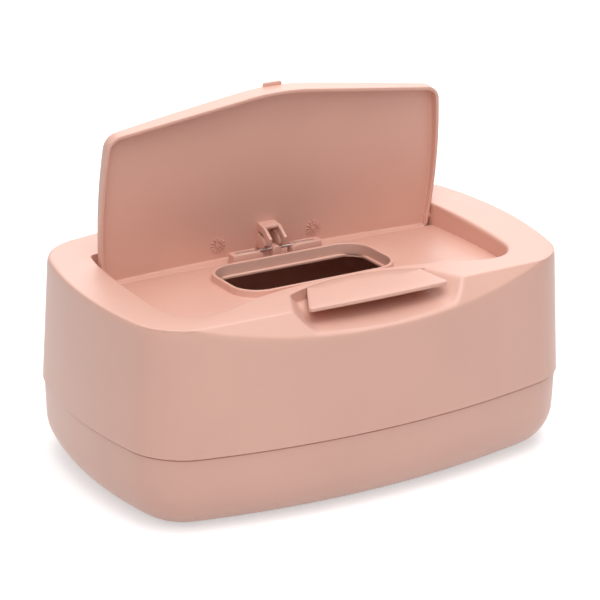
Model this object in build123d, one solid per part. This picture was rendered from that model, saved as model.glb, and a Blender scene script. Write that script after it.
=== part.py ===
from build123d import *

import os
from math import atan, cos, degrees, hypot, radians, sin, sqrt

# A baby wipes box in five pieces: a tray, a cover that lifts off it, a lid on two trunnions,
# a steel rod that snaps the lid over centre, and a press tongue over a finger scoop.
# Origin at the middle of the underside, +X along the long side, -Y to the front, +Z up.
# The lid is modelled open, as it rests, its free end leaning a little to the front.

# Body
LENGTH = 250.0
DEPTH = 165.4
FRONT_BOW = 422.0        # plan radius of the bowed front and back
SIDE_BOW = 205.0         # plan radius of the bowed short sides
CORNER = 33.0            # plan radius of the corners
PARTING_Z = 40.0         # where the cover sits on the tray
TOP_Z = 103.5
WALL = 2.2
COVER_DRAFT = 0.059      # the cover narrows by this much per millimetre of height
TOP_EDGE = 1.0           # rounding of the cover's outer top edge
AMPLE = 400.0            # more than the box in every direction, for the blocks that cut it

# Tray
TRAY_STEP = 0.9          # the tray stands in from the cover
TRAY_DRAFT = 0.03
TRAY_FOOT = 22.0         # rounding from the tray's wall to its underside
LIP_TOP = PARTING_Z + 4.5
LIP_FOOT = PARTING_Z - 5.0
LIP_THICK = 1.4
LIP_GAP = 0.35
SHADOW_GAP = 0.55        # height of the dark line between cover and tray
SHADOW_DEPTH = 1.4

# Facets at the front, on each side of the middle
FACET_Y = -69.35         # the top front edge at the middle
FACET_SWEEP = 0.021      # it runs back by this much per millimetre to each side
FACET_LEAN = 0.832       # forward run per millimetre of drop

# Sunken floor for the lid
FLOOR_Z = 91.8           # at the middle of the box
FLOOR_RISE = 0.0364      # it rises to the front
FLOOR_THICK = 2.0
FLOOR_BACK = 31.8        # the floor ends here, at the well for the lid's foot
WELL_Z = 87.6
WELL_BACK = 43.6
RECESS_EDGE = 4.5        # rounding of the recess's top edge
RECESS_GAP = 1.1         # between the lid's sides and the recess's walls
RECESS_FRONT = -37.4     # the recess's front wall at the middle, where it swells to the back
RECESS_SHOULDER_X = 70.0 # from here outwards the front wall is straight
RECESS_SHOULDER_Y = -49.6
RECESS_CORNER_X = 93.0
RECESS_CORNER_Y = -50.4
RECESS_CORNER = 17.0
RECESS_BEND = 25.0       # where the swelling front wall meets its straight ends
RECESS_BACK_CORNER = 3.0

# Dispensing opening
MOUTH_X = 43.4           # half length
MOUTH_Y = 20.8           # half width
MOUTH_CENTRE = -0.9
MOUTH_CORNER = 13.3
COLLAR_THICK = 1.7
COLLAR_HEIGHT = 3.7
LEDGE = 1.3              # the ledge inside the collar's foot
LEDGE_THICK = 1.4
LEDGE_CORNER = 7.5

# Lid, in its own frame: its pivot is the origin, -Y points to its free end and +Z to its skin
PIVOT_Y = 34.3
PIVOT_Z = 95.3
LID_OPEN = 84.0          # degrees from level
LID_SIDE = 93.6          # half length at the foot
LID_MIDDLE = 95.9        # half length where the bowed sides are widest
LID_FRONT = 92.9
LID_FOOT_Y = 6.5
LID_WIDE_Y = -31.5
LID_CORNER_Y = -73.0
LID_TIP_Y = -85.3        # where the two halves of the free edge would meet
LID_TIP_ROUND = 130.0
LID_TIP_SINK = 1.1       # how far that rounding draws the edge in
LID_CORNER = 8.5
LID_FOOT_CORNER = 3.0
LID_RIM_Z = -2.5
LID_THICK = 8.0
LID_THICK_Y = 4.5        # where that thickness is measured
LID_WEDGE = 0.0293       # it thickens to the free end
LID_CROWN = 1250.0
LID_RIM = 1.8
LID_SKIN = 2.0
LID_EDGE = 2.2
TRUNNION = 1.6
TRUNNION_IN = 92.5       # the trunnions start inside the lid's side walls
TRUNNION_OUT = 96.7
TRUNNION_GAP = 0.06
TRUNNION_HOLE = 99.5     # how far out their holes in the cover reach
TAB_X = 5.0              # half width of the fingertip tab
TAB_OUT = 1.7
TAB_LENGTH = 4.0
TAB_THICK = 1.6
TAB_DROP = 2.4           # from the skin at the free edge to the tab's underside
TAB_CORNER = 0.8

# Snap hinge
ROD = 0.75               # radius of the steel rod
ROD_Y = 27.6
ROD_Z = 95.8
ROD_HALF = 21.5
ROD_GAP = 0.03
ROD_END = 0.2            # rounding of its ends
BLOCK_IN = 8.5
BLOCK_OUT = 25.4
BLOCK_FRONT = 24.2
BLOCK_BACK = 30.2
BLOCK_TOP = 96.7
BLOCK_CORNER = 3.0       # rounding of a block's top edge next to the lug
BLOCK_EDGE = 0.4
WINDOW_LENGTH = 11.5     # the window in a block's top, over the rod
WINDOW_FRONT = 26.5
WINDOW_BACK = 29.4
LUG = 2.3
LUG_FRONT = 25.3
LUG_BACK = 29.8
LUG_Z = 95.2
CHEEK_IN = 3.5           # the hood's two cheeks, from here
CHEEK_OUT = 5.1          # to here on each side
CHEEK_ARM = 7.75         # the rod passes between this radius about the pivot
CHEEK_HUB = 5.7          # and this one
CHEEK_SLOT_END = 10.0    # degrees over level at which that passage ends, in the lid's frame
CHEEK_MOUTH = -65.0      # and at which the arm ends
HUB_MOUTH = -62.0
CHEEK_TOP = -11.4        # the hood's upper face, in the lid's frame
CHEEK_ROOT_Z = 4.8       # it is rooted in the lid's skin
CHEEK_BEND_Z = -2.3
CHEEK_TIP_Y = -7.8
CHEEK_TIP_Z = -9.5
CHEEK_TIP_END_Y = -4.4
HUB_FOOT_Y = 1.5
HUB_FOOT_Z = -3.0
HOOD_THICK = 1.5
SLOT_GAP = 0.6           # round a cheek, in its slot through the floor
SLOT_FRONT = 22.3
SLOT_BACK = 33.0

# Finger scoop and tongue
SCOOP_X = 2.0            # the scoop lies this far to the right of the box's middle
SCOOP_BACK = -41.0       # the scoop's back wall at its middle
SCOOP_BACK_BOW = 85.0    # its radius in plan
SCOOP_HALF_BACK = 33.7
SCOOP_HALF_FRONT = 47.5
SCOOP_DROP_FRONT = 14.8  # down the facet, at the middle
SCOOP_DROP_BACK = 5.4
SCOOP_SLANT_FRONT = 0.4  # the sides lean in by this much per millimetre of depth
SCOOP_SLANT_BACK = 0.25
SCOOP_SAG_FRONT = 3.8    # the bottom hangs through by this much
SCOOP_SAG_BACK = 1.0
SCOOP_RISE = 14.0        # the cut goes on this far over the top
SCOOP_CORNER_FRONT = 9.0
SCOOP_CORNER_BACK = 4.5
TONGUE_GAP = 0.3
TONGUE_ROOT = (-24.0, 37.6)   # its left and right corners at the root
TONGUE_FRONT = (-36.8, 40.6)  # and at the front edge
TONGUE_Y = -69.3
TONGUE_BOW = 0.8
TONGUE_THICK = 2.0
TONGUE_CORNER = 1.5
TONGUE_EDGE = 0.5


def unit(x, y):
    size = hypot(x, y)
    return x / size, y / size


def plan(inset, z):
    """The box's outline in plan, a given distance inside its widest line, at height z."""
    front_y = -DEPTH / 2 + FRONT_BOW
    side_x = LENGTH / 2 - SIDE_BOW
    front_reach = FRONT_BOW - CORNER
    side_reach = SIDE_BOW - CORNER
    span = hypot(side_x, front_y)
    along = (span**2 + front_reach**2 - side_reach**2) / (2 * span)
    across = sqrt(front_reach**2 - along**2)
    ux, uy = unit(side_x, -front_y)
    corner_x = along * ux - across * uy
    corner_y = front_y + along * uy + across * ux
    if corner_y > 0:
        corner_x = along * ux + across * uy
        corner_y = front_y + along * uy - across * ux
    fx, fy = unit(corner_x, corner_y - front_y)
    sx, sy = unit(corner_x - side_x, corner_y)
    mx, my = unit(fx + sx, fy + sy)
    front_r = FRONT_BOW - inset
    side_r = SIDE_BOW - inset
    corner_r = CORNER - inset
    front_end = (fx * front_r, front_y + fy * front_r)
    side_end = (side_x + sx * side_r, sy * side_r)
    corner_mid = (corner_x + mx * corner_r, corner_y + my * corner_r)
    half_x = LENGTH / 2 - inset
    half_y = DEPTH / 2 - inset

    def arc(start, middle, end):
        return ThreePointArc((*start, z), (*middle, z), (*end, z))

    def turn(point, flip_x, flip_y):
        return point[0] * flip_x, point[1] * flip_y

    edges = []
    for flip in (-1, 1):
        edges.append(arc(turn(front_end, -1, flip), (0, flip * -half_y), turn(front_end, 1, flip)))
        edges.append(arc(turn(side_end, flip, 1), (flip * half_x, 0), turn(side_end, flip, -1)))
        for flip_y in (-1, 1):
            edges.append(
                arc(
                    turn(front_end, flip, flip_y),
                    turn(corner_mid, flip, flip_y),
                    turn(side_end, flip, flip_y),
                )
            )
    return Face(Wire(edges))


def drafted(inset_low, z_low, inset_high, z_high):
    """A straight-drafted block between two heights."""
    return loft([plan(inset_low, z_low), plan(inset_high, z_high)], ruled=True)


def facet_plane(side, depth):
    """The plane of one front facet, moved in by depth."""
    along = Vector(side, FACET_SWEEP, 0).normalized()
    down = Vector(0, -FACET_LEAN, -1).normalized()
    out = along.cross(down).normalized()
    if out.Z < 0:
        out = -out
    return Plane(origin=Vector(0, FACET_Y, TOP_Z) - out * depth, x_dir=along, z_dir=out)


def off_the_facets(depth):
    """What lies in front of the two facets."""
    block = Box(AMPLE, AMPLE, AMPLE, align=(Align.CENTER, Align.CENTER, Align.MIN))
    return [facet_plane(side, depth) * block for side in (-1, 1)]


def recess_outline(grow):
    """The sunken place for the lid, in plan: bowed sides, and a front edge that swells to the back."""
    side = LID_SIDE + RECESS_GAP
    middle = LID_MIDDLE + RECESS_GAP
    shoulder = (RECESS_SHOULDER_X, RECESS_SHOULDER_Y)
    corner = (RECESS_CORNER_X, RECESS_CORNER_Y)
    edges = [Line((-side, WELL_BACK), (side, WELL_BACK))]
    for flip in (-1, 1):
        flipped = (flip * corner[0], corner[1])
        bend = (flip * shoulder[0], shoulder[1])
        edges.append(
            ThreePointArc((flip * side, WELL_BACK), (flip * middle, PIVOT_Y + LID_WIDE_Y), flipped)
        )
        edges.append(Line(flipped, bend))
    left = (-shoulder[0], shoulder[1])
    edges.append(ThreePointArc(left, (0, RECESS_FRONT), shoulder))
    face = Face(Wire(edges))
    face = fillet(face.vertices().filter_by(lambda v: v.Y < RECESS_CORNER_Y + 0.1), RECESS_CORNER)
    face = fillet(
        face.vertices().filter_by(lambda v: (Vector(abs(v.X), v.Y) - Vector(*shoulder)).length < 0.1),
        RECESS_BEND,
    )
    face = fillet(face.vertices().filter_by(lambda v: v.Y > WELL_BACK - 0.1), RECESS_BACK_CORNER)
    if grow:
        face = offset(face, amount=grow, kind=Kind.ARC)
    return face


def floor_place(z=0.0):
    """The tilted frame of the sunken floor, z above it."""
    tilt = -degrees(atan(FLOOR_RISE))
    return Pos(0, 0, FLOOR_Z) * Rot(tilt, 0, 0) * Pos(0, 0, z)


def recess_space(outline, sink, well_front):
    """The space over the floor and the well, for an outline: sink is how far below them it starts."""
    prism = Pos(0, 0, PARTING_Z) * extrude(outline, amount=TOP_Z, dir=(0, 0, 1))
    above = floor_place(-sink) * Box(AMPLE, AMPLE, AMPLE, align=(Align.CENTER, Align.CENTER, Align.MIN))
    well = Pos(0, well_front, WELL_Z - sink) * Box(
        AMPLE, AMPLE, AMPLE, align=(Align.CENTER, Align.MIN, Align.MIN)
    )
    return prism & (above + well)


def scoop_section(plane, half, slant, drop, sag, corner):
    """A U in a plane whose local Y points down: half wide at the top edge, drop deep at the middle."""
    above = -SCOOP_RISE
    bottom = drop - sag
    low = half - slant * bottom
    high = half - slant * above
    edges = [
        Line((-high, above), (-low, bottom)),
        ThreePointArc((-low, bottom), (0, drop), (low, bottom)),
        Line((low, bottom), (high, above)),
        Line((high, above), (-high, above)),
    ]
    face = Face(Wire(edges))
    face = fillet(face.vertices().filter_by(lambda v: v.Y > 0), corner)
    return plane * face


def before_the_back_wall(grow):
    """The space in front of the scoop's bowed back wall."""
    radius = SCOOP_BACK_BOW + grow
    centre = SCOOP_BACK - SCOOP_BACK_BOW
    return Pos(0, centre, TOP_Z) * Cylinder(radius, LENGTH)


def scoop_body(grow):
    """The finger scoop's hollow, or with grow the block around it."""
    down = Vector(0, -FACET_LEAN, -1).normalized()
    out = Vector(1, 0, 0).cross(down).normalized()
    if out.Z < 0:
        out = -out
    front_plane = Plane(origin=(0, FACET_Y, TOP_Z), x_dir=(1, 0, 0), z_dir=Vector(1, 0, 0).cross(down))
    back_plane = Plane(origin=(0, SCOOP_BACK + grow, TOP_Z), x_dir=(1, 0, 0), z_dir=(0, 1, 0))
    front = scoop_section(
        front_plane,
        SCOOP_HALF_FRONT + grow,
        SCOOP_SLANT_FRONT,
        SCOOP_DROP_FRONT + grow,
        SCOOP_SAG_FRONT,
        SCOOP_CORNER_FRONT,
    )
    back = scoop_section(
        back_plane,
        SCOOP_HALF_BACK + grow,
        SCOOP_SLANT_BACK,
        SCOOP_DROP_BACK + grow,
        SCOOP_SAG_BACK,
        SCOOP_CORNER_BACK,
    )
    body = loft([back, front], ruled=True)
    if grow:
        return Pos(SCOOP_X, 0, 0) * body
    body += extrude(front, amount=30, dir=out)
    return Pos(SCOOP_X, 0, 0) * (body & before_the_back_wall(0))


def mouth(grow, z_low, z_high, corner):
    """A block of the dispensing opening's outline, between two heights over the floor."""
    face = RectangleRounded(2 * (MOUTH_X + grow), 2 * (MOUTH_Y + grow), corner)
    return floor_place(z_low) * Pos(0, MOUTH_CENTRE, 0) * extrude(face, amount=z_high - z_low)


def make_tray():
    foot_inset = TRAY_STEP + TRAY_DRAFT * PARTING_Z
    outer = drafted(foot_inset, 0, TRAY_STEP, PARTING_Z)
    outer = fillet(outer.faces().sort_by(Axis.Z)[0].edges(), TRAY_FOOT)
    inner = drafted(foot_inset + WALL, WALL, TRAY_STEP + WALL - TRAY_DRAFT * 10, PARTING_Z + 10)
    inner = fillet(inner.faces().sort_by(Axis.Z)[0].edges(), TRAY_FOOT - WALL)
    lip_inset = WALL + LIP_GAP
    lip = drafted(
        lip_inset + COVER_DRAFT * (LIP_FOOT - PARTING_Z),
        LIP_FOOT,
        lip_inset + COVER_DRAFT * (LIP_TOP - PARTING_Z),
        LIP_TOP,
    )
    hollow = lip_inset + LIP_THICK
    lip -= drafted(
        hollow + COVER_DRAFT * (LIP_FOOT - PARTING_Z),
        LIP_FOOT - 0.01,
        hollow + COVER_DRAFT * (LIP_TOP - PARTING_Z),
        LIP_TOP + 0.01,
    )
    return outer - inner + lip


def cover_shell():
    """The drafted outer body with its facets, hollow from below."""
    height = TOP_Z - PARTING_Z
    outer = drafted(0, PARTING_Z, COVER_DRAFT * height, TOP_Z)
    for block in off_the_facets(0):
        outer -= block
    outer = fillet(outer.faces().sort_by(Axis.Z)[-1].edges(), TOP_EDGE)
    roof = height - WALL
    hollow = drafted(WALL, PARTING_Z, WALL + COVER_DRAFT * roof, TOP_Z - WALL)
    for block in off_the_facets(WALL):
        hollow -= block
    shadow = drafted(-1, PARTING_Z - 1, -1, PARTING_Z + SHADOW_GAP)
    shadow -= drafted(SHADOW_DEPTH, PARTING_Z - 1, SHADOW_DEPTH, PARTING_Z + SHADOW_GAP)
    return outer, outer - hollow - shadow


def make_cover():
    outer, cover = cover_shell()
    cover += recess_space(recess_outline(WALL), FLOOR_THICK, FLOOR_BACK - WALL) & (
        Box(AMPLE, AMPLE, TOP_Z - WALL / 2, align=(Align.CENTER, Align.CENTER, Align.MIN))
    )
    cover += scoop_body(WALL) & outer
    cover -= recess_space(recess_outline(0), 0, FLOOR_BACK)
    top = cover.faces().filter_by(Plane.XY).sort_by(Axis.Z)[-1]
    cover = fillet(top.inner_wires()[0].edges(), RECESS_EDGE)
    cover -= scoop_body(0)
    cover += mouth(COLLAR_THICK, -FLOOR_THICK - LEDGE_THICK, COLLAR_HEIGHT, MOUTH_CORNER + COLLAR_THICK)
    cover -= mouth(0, -FLOOR_THICK, COLLAR_HEIGHT + 1, MOUTH_CORNER)
    cover -= mouth(-LEDGE, -FLOOR_THICK - LEDGE_THICK - 1, 0, LEDGE_CORNER)
    cover += hinge_blocks()
    slot = Box(
        CHEEK_OUT - CHEEK_IN + 2 * SLOT_GAP,
        SLOT_BACK - SLOT_FRONT,
        TOP_Z - WELL_Z,
        align=(Align.CENTER, Align.MIN, Align.MAX),
    )
    hole = Rot(0, 90, 0) * Cylinder(TRUNNION + TRUNNION_GAP, 2 * (TRUNNION_HOLE - LID_SIDE))
    for side in (-1, 1):
        cover -= Pos(side * (CHEEK_IN + CHEEK_OUT) / 2, SLOT_FRONT, BLOCK_TOP) * slot
        cover -= Pos(side * LID_SIDE, PIVOT_Y, PIVOT_Z) * hole
    cover -= Pos(0, ROD_Y, ROD_Z) * Rot(0, 90, 0) * Cylinder(ROD + ROD_GAP, 2 * (ROD_HALF + ROD_END))
    return cover


def hinge_blocks():
    """Two bearing blocks and the clamping lug between them, all standing on the floor."""
    parts = Part()
    foot = FLOOR_Z - FLOOR_THICK
    for side in (-1, 1):
        middle = side * (BLOCK_IN + BLOCK_OUT) / 2
        block = Pos(middle, BLOCK_FRONT, foot) * Box(
            BLOCK_OUT - BLOCK_IN,
            BLOCK_BACK - BLOCK_FRONT,
            BLOCK_TOP - foot,
            align=(Align.CENTER, Align.MIN, Align.MIN),
        )
        inner_edge = block.edges().filter_by(Axis.Y).sort_by(Axis.Z)[-2:].sort_by(
            lambda e: abs(e.center().X)
        )[0]
        block = fillet(inner_edge, BLOCK_CORNER)
        block = fillet(block.faces().sort_by(Axis.Z)[-1].edges(), BLOCK_EDGE)
        block -= Pos(middle, WINDOW_FRONT, ROD_Z) * Box(
            WINDOW_LENGTH,
            WINDOW_BACK - WINDOW_FRONT,
            BLOCK_TOP - ROD_Z + 1,
            align=(Align.CENTER, Align.MIN, Align.MIN),
        )
        parts += block
    lug = Pos(0, (LUG_FRONT + LUG_BACK) / 2, LUG_Z) * Rot(90, 0, 0) * Cylinder(
        LUG, LUG_BACK - LUG_FRONT
    )
    web = Pos(0, LUG_FRONT, foot) * Box(
        2 * LUG, LUG_BACK - LUG_FRONT, LUG_Z - foot, align=(Align.CENTER, Align.MIN, Align.MIN)
    )
    return parts + lug + web


def lid_outline():
    edges = [
        ThreePointArc(
            (LID_SIDE, LID_FOOT_Y), (LID_MIDDLE, LID_WIDE_Y), (LID_FRONT, LID_CORNER_Y)
        ),
        Line((LID_FRONT, LID_CORNER_Y), (0, LID_TIP_Y)),
        Line((0, LID_TIP_Y), (-LID_FRONT, LID_CORNER_Y)),
        ThreePointArc(
            (-LID_FRONT, LID_CORNER_Y), (-LID_MIDDLE, LID_WIDE_Y), (-LID_SIDE, LID_FOOT_Y)
        ),
        Line((-LID_SIDE, LID_FOOT_Y), (LID_SIDE, LID_FOOT_Y)),
    ]
    face = Face(Wire(edges))
    face = fillet(face.vertices().filter_by(lambda v: v.Y < LID_TIP_Y + 1), LID_TIP_ROUND)
    face = fillet(face.vertices().filter_by(lambda v: abs(v.X) > 90 and v.Y < 0), LID_CORNER)
    return fillet(face.vertices().filter_by(lambda v: v.Y > 0), LID_FOOT_CORNER)


def under_the_crown(depth):
    """What lies below the lid's crowned skin, moved in by depth."""
    slope = degrees(atan(LID_WEDGE))
    skin_z = LID_RIM_Z + LID_THICK + LID_THICK_Y * LID_WEDGE
    drum = Rot(90, 0, 0) * Cylinder(LID_CROWN - depth, 300)
    return Pos(0, 0, skin_z) * Rot(-slope, 0, 0) * Pos(0, 0, -LID_CROWN) * drum


def cheek(side):
    """One cheek of the lid's hood. The rod passes through it in a slot bent round the pivot."""
    def ring(radius, angle):
        return -radius * cos(radians(angle)), radius * sin(radians(angle))

    middle = (CHEEK_SLOT_END + CHEEK_MOUTH) / 2
    slot_middle = (CHEEK_ARM + CHEEK_HUB) / 2
    edges = [
        Line((HUB_FOOT_Y, CHEEK_ROOT_Z), (CHEEK_TOP, CHEEK_ROOT_Z)),
        Line((CHEEK_TOP, CHEEK_ROOT_Z), (CHEEK_TOP, CHEEK_BEND_Z)),
        Line((CHEEK_TOP, CHEEK_BEND_Z), (CHEEK_TIP_Y, CHEEK_TIP_Z)),
        Line((CHEEK_TIP_Y, CHEEK_TIP_Z), (CHEEK_TIP_END_Y, CHEEK_TIP_Z)),
        Line((CHEEK_TIP_END_Y, CHEEK_TIP_Z), ring(CHEEK_ARM, CHEEK_MOUTH)),
        ThreePointArc(
            ring(CHEEK_ARM, CHEEK_MOUTH), ring(CHEEK_ARM, middle), ring(CHEEK_ARM, CHEEK_SLOT_END)
        ),
        ThreePointArc(
            ring(CHEEK_ARM, CHEEK_SLOT_END),
            ring(slot_middle, CHEEK_SLOT_END + 8),
            ring(CHEEK_HUB, CHEEK_SLOT_END),
        ),
        ThreePointArc(
            ring(CHEEK_HUB, CHEEK_SLOT_END), ring(CHEEK_HUB, middle), ring(CHEEK_HUB, HUB_MOUTH)
        ),
        Line(ring(CHEEK_HUB, HUB_MOUTH), (HUB_FOOT_Y, HUB_FOOT_Z)),
        Line((HUB_FOOT_Y, HUB_FOOT_Z), (HUB_FOOT_Y, CHEEK_ROOT_Z)),
    ]
    face = Plane.YZ * Face(Wire(edges))
    start = CHEEK_IN if side > 0 else -CHEEK_OUT
    return Pos(start, 0, 0) * extrude(face, amount=CHEEK_OUT - CHEEK_IN, dir=(1, 0, 0))


def make_lid():
    outline = lid_outline()
    block = Pos(0, 0, LID_RIM_Z) * extrude(outline, amount=20, dir=(0, 0, 1))
    lid = block & under_the_crown(0)
    lid = fillet(lid.faces().sort_by(Axis.Z)[-1].edges(), LID_EDGE)
    inside = offset(outline, amount=-LID_RIM)
    hollow = Pos(0, 0, LID_RIM_Z - 1) * extrude(inside, amount=20, dir=(0, 0, 1))
    lid -= hollow & under_the_crown(LID_SKIN)
    bridge = Pos(0, CHEEK_TOP, CHEEK_ROOT_Z) * Box(
        2 * CHEEK_OUT,
        HOOD_THICK,
        CHEEK_ROOT_Z - CHEEK_BEND_Z,
        align=(Align.CENTER, Align.MIN, Align.MAX),
    )
    hood = cheek(-1) + cheek(1) + bridge
    lid += hood & under_the_crown(LID_SKIN / 4)
    tip = LID_RIM_Z + LID_THICK - LID_WEDGE * LID_TIP_Y
    tab = Pos(0, LID_TIP_Y + LID_TIP_SINK - TAB_OUT, tip - TAB_DROP) * Box(
        2 * TAB_X, TAB_LENGTH, TAB_THICK, align=(Align.CENTER, Align.MIN, Align.MIN)
    )
    lid += fillet(tab.edges().filter_by(Axis.Z).sort_by(Axis.Y)[:2], TAB_CORNER)
    trunnion = Rot(0, 90, 0) * Cylinder(TRUNNION, TRUNNION_OUT - TRUNNION_IN)
    for side in (-1, 1):
        lid += Pos(side * (TRUNNION_IN + TRUNNION_OUT) / 2, 0, 0) * trunnion
    return Pos(0, PIVOT_Y, PIVOT_Z) * Rot(-LID_OPEN, 0, 0) * lid


def make_rod():
    rod = Rot(0, 90, 0) * Cylinder(ROD, 2 * ROD_HALF)
    return Pos(0, ROD_Y, ROD_Z) * fillet(rod.edges(), ROD_END)


def make_tongue():
    """A level plate whose bowed root follows the scoop's back wall."""
    root = SCOOP_BACK - TONGUE_GAP
    radius = SCOOP_BACK_BOW - TONGUE_GAP
    left, right = [(x, root - radius + sqrt(radius**2 - (x - SCOOP_X) ** 2)) for x in TONGUE_ROOT]
    front_left, front_right = [(x, TONGUE_Y) for x in TONGUE_FRONT]
    front_middle = (sum(TONGUE_FRONT) / 2, TONGUE_Y - TONGUE_BOW)
    outline = Face(
        Wire(
            [
                ThreePointArc(left, (SCOOP_X, root), right),
                Line(right, front_right),
                ThreePointArc(front_right, front_middle, front_left),
                Line(front_left, left),
            ]
        )
    )
    front_corners = outline.vertices().filter_by(lambda v: v.Y < TONGUE_Y + 1)
    outline = fillet(front_corners, TONGUE_CORNER)
    tongue = Pos(0, 0, TOP_Z - TONGUE_THICK) * extrude(outline, amount=TONGUE_THICK, dir=(0, 0, 1))
    front = tongue.faces().sort_by(Axis.Y)[0]
    return fillet(front.edges().filter_by(lambda e: e.length > LENGTH / 4), TONGUE_EDGE)


def main():
    os.makedirs("parts", exist_ok=True)
    pieces = {
        "base_tray": make_tray(),
        "cover": make_cover(),
        "lid": make_lid(),
        "snap_spring_rod": make_rod(),
        "release_tongue": make_tongue(),
    }
    for name, piece in pieces.items():
        solids = piece.solids()
        print(name, len(solids), round(sum(solid.volume for solid in solids)))
        export_step(piece, f"parts/{name}.step")


main()
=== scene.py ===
# %% [markdown]
# # A baby wipes box
#
# The object is a box of five moulded and drawn pieces: a tray, a cover that lifts off it, a lid
# that snaps open and shut over the opening, a thin steel rod that makes the snap, and a press
# tongue. All of the plastic is one blush colour with a satin face. This file dresses the box.
#
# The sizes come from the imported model, which is loaded first. It stands in metres with its origin
# in the middle of the underside, +X along the long side and -Y to the front.

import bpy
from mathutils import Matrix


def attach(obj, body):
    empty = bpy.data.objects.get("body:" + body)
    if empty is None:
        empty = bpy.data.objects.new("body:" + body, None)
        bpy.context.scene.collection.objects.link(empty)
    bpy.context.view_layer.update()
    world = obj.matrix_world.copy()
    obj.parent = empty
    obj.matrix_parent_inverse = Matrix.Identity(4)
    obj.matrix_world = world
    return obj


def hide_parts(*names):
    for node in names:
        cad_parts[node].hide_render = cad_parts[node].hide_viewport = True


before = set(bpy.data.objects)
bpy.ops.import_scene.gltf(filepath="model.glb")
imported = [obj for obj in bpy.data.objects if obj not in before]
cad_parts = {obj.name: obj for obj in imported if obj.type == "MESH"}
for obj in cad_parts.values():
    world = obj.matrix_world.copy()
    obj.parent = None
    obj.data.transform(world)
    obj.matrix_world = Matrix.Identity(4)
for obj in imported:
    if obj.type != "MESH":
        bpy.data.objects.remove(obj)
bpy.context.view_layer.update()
print("nodes:", sorted(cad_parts))

# %% Imports and units
from math import asin, atan, cos, hypot, pi, radians, sin, sqrt

import bmesh
import bpy
import numpy as np
from mathutils import Matrix, Vector

MM = 0.001


# %% [markdown]
# ## Shader maths as Python
#
# A material is a graph of nodes. Written out by hand, a graph takes many lines for each sum. A
# small class that wraps a socket lets Python's own operators add the Math nodes, so that a
# formula in a material reads as a formula.

# %% A socket with operators
class Wire:
    """A node's output. + and * on it add Math nodes to its tree."""

    def __init__(self, bench, socket):
        self.bench = bench
        self.socket = socket

    def _math(self, operation, first, second):
        return self.bench.node("ShaderNodeMath", {"operation": operation}, {0: first, 1: second})

    def __add__(self, other):
        return self._math("ADD", self, other)

    def __mul__(self, other):
        return self._math("MULTIPLY", self, other)

    __radd__ = __add__
    __rmul__ = __mul__


class Bench:
    """A node tree, emptied, with one method that adds a node and joins its inputs."""

    def __init__(self, tree, material=None):
        self.tree = tree
        self.material = material
        tree.nodes.clear()

    def node(self, kind, settings=None, inputs=None, output=0):
        made = self.tree.nodes.new(kind)
        for name, value in (settings or {}).items():
            if name == "stops":
                ramp = made.color_ramp
                ramp.elements[0].position, ramp.elements[0].color = value[0]
                ramp.elements[1].position, ramp.elements[1].color = value[-1]
                for position, color in value[1:-1]:
                    ramp.elements.new(position).color = color
            else:
                setattr(made, name, value)
        for name, value in (inputs or {}).items():
            if isinstance(value, Wire):
                self.tree.links.new(value.socket, made.inputs[name])
            else:
                made.inputs[name].default_value = value
        return Wire(self, made.outputs[output]) if len(made.outputs) else None

    def surface(self, shader):
        self.node("ShaderNodeOutputMaterial", None, {"Surface": shader})
        return self.material


def material_bench(name):
    """A bench for the tree of a new material."""
    material = bpy.data.materials.new(name)
    material.use_nodes = True
    return Bench(material.node_tree, material)


def linear(red, green, blue):
    """An 0 to 255 screen colour as the linear values that a shader takes."""
    parts = []
    for value in (red, green, blue):
        level = value / 255
        parts.append(level / 12.92 if level <= 0.04045 else ((level + 0.055) / 1.055) ** 2.4)
    return (*parts, 1.0)


print("white is", linear(255, 255, 255))


# %% [markdown]
# ## The blush plastic
#
# The box is moulded in polypropylene. Its face isn't a mirror: the steel mould was spark eroded,
# which leaves a very fine grain, and the plastic cools unevenly, so that its sheen and its colour
# wander a little over a few centimetres. A noise in the object's own coordinates gives both, with
# no seams. The grain goes through a Bump node, because it is far too fine to model.

# %% Blush plastic
def blush_plastic(name, tint, grain=1.0):
    bench = material_bench(name)
    place = bench.node("ShaderNodeTexCoord", output=3)

    def noise(scale, detail):
        inputs = {"Vector": place, "Scale": scale, "Detail": detail, "Roughness": 0.5}
        return bench.node("ShaderNodeTexNoise", None, inputs)

    drift = noise(22.0, 3.0)
    fine = noise(1700.0, 2.0)
    cloudy = noise(90.0, 4.0)
    paler = tuple(min(1.0, part * 1.025) for part in tint[:3]) + (1.0,)
    deeper = tuple(part * 0.975 for part in tint[:3]) + (1.0,)
    color = bench.node(
        "ShaderNodeValToRGB", {"stops": [(0.3, deeper), (0.7, paler)]}, {"Fac": drift}
    )
    bump = bench.node(
        "ShaderNodeBump", None, {"Strength": 0.18 * grain, "Distance": 0.00006, "Height": fine}
    )
    shader = bench.node(
        "ShaderNodeBsdfPrincipled",
        None,
        {
            "Base Color": color,
            "Roughness": 0.45 + 0.10 * cloudy + 0.04 * fine,
            "Normal": bump,
            "IOR": 1.49,
            "Coat Weight": 1.0,
            "Coat Roughness": 0.5,
        },
    )
    return bench.surface(shader)


BLUSH = linear(217, 168, 151)
plastic = blush_plastic("blush_satin_plastic", BLUSH)
print("blush plastic:", [round(part, 3) for part in BLUSH[:3]])


# %% [markdown]
# ## The steel rod
#
# Thin spring wire is drawn through a die, which leaves faint lines along it. Noise that is
# stretched along X and squeezed across gives those lines to the roughness.

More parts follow.
